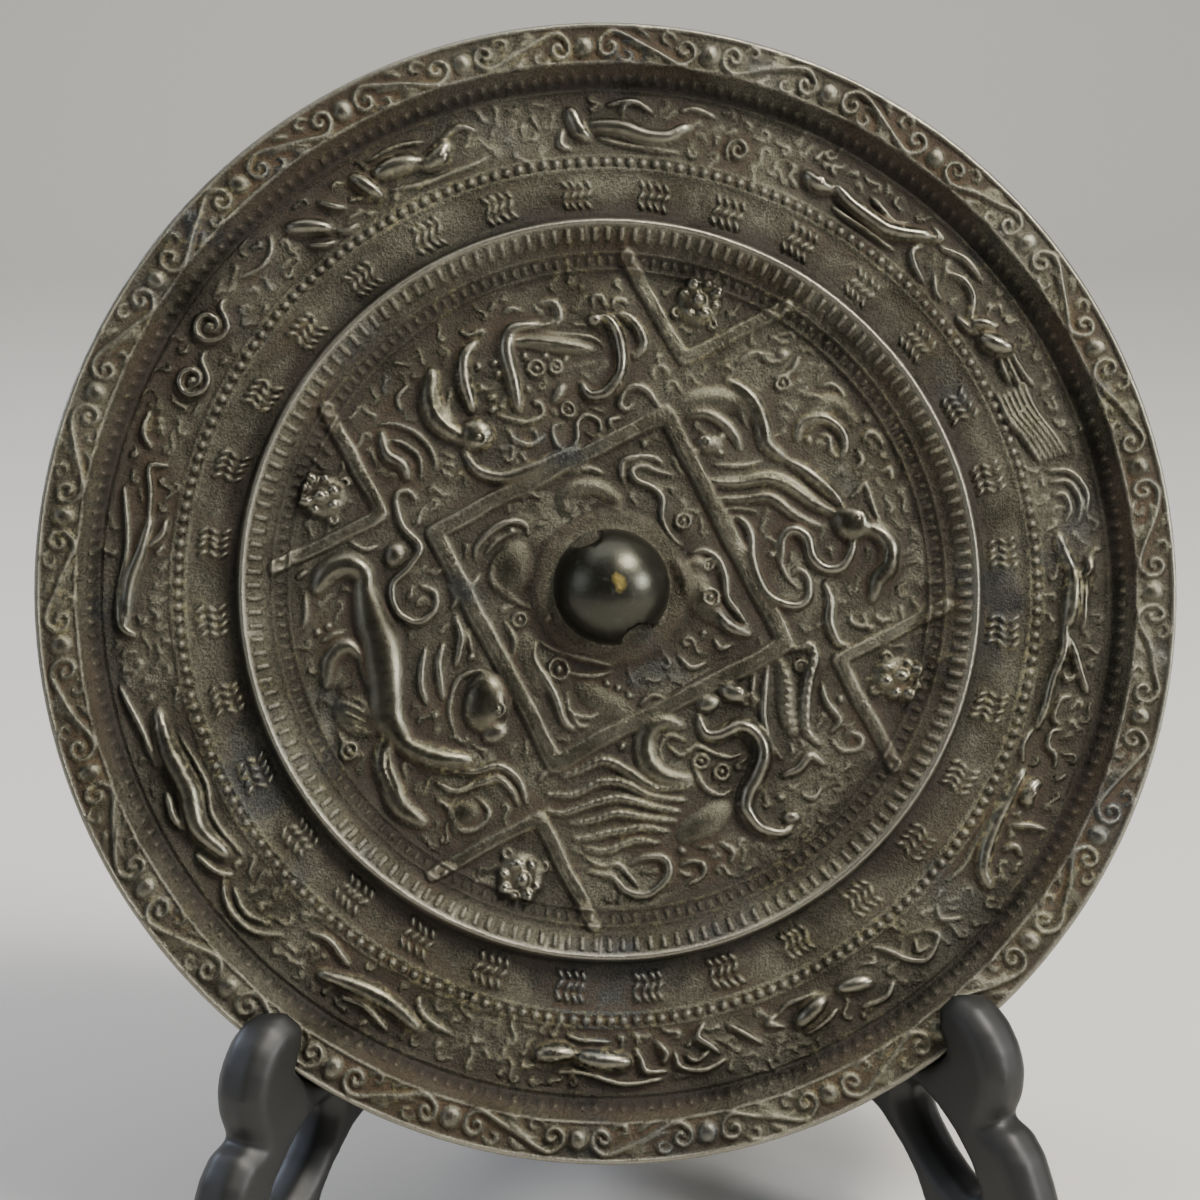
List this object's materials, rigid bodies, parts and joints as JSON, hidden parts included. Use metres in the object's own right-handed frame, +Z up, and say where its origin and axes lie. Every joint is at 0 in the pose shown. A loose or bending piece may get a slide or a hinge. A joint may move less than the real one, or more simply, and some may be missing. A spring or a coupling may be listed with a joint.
{
  "type": "ancient bronze mirror on a folding stand",
  "caption": "Round cast bronze mirror, ornamented back outwards with a pierced knob, beasts and scrolls, leaning on a black folding plate stand.",
  "frame": {"origin": "on the table, under the middle of the whole piece", "axes": "+Z up, +X to the right of someone looking at the ornament, -Y towards them"},
  "size_m": [0.215, 0.1178, 0.2299],
  "materials": {
    "bronze": "aged cast bronze, dark olive-brown patina with rust-brown soil in the hollows and worn bright ridges",
    "stand_plastic": "black moulded plastic, satin",
    "pin_steel": "plain drawn steel wire"
  },
  "bodies": {
    "root": {"bronze_mirror": "bronze", "stand_leaf_left": "stand_plastic", "stand_leaf_right": "stand_plastic", "stand_hinge_pin": "pin_steel"}
  },
  "joints": []
}
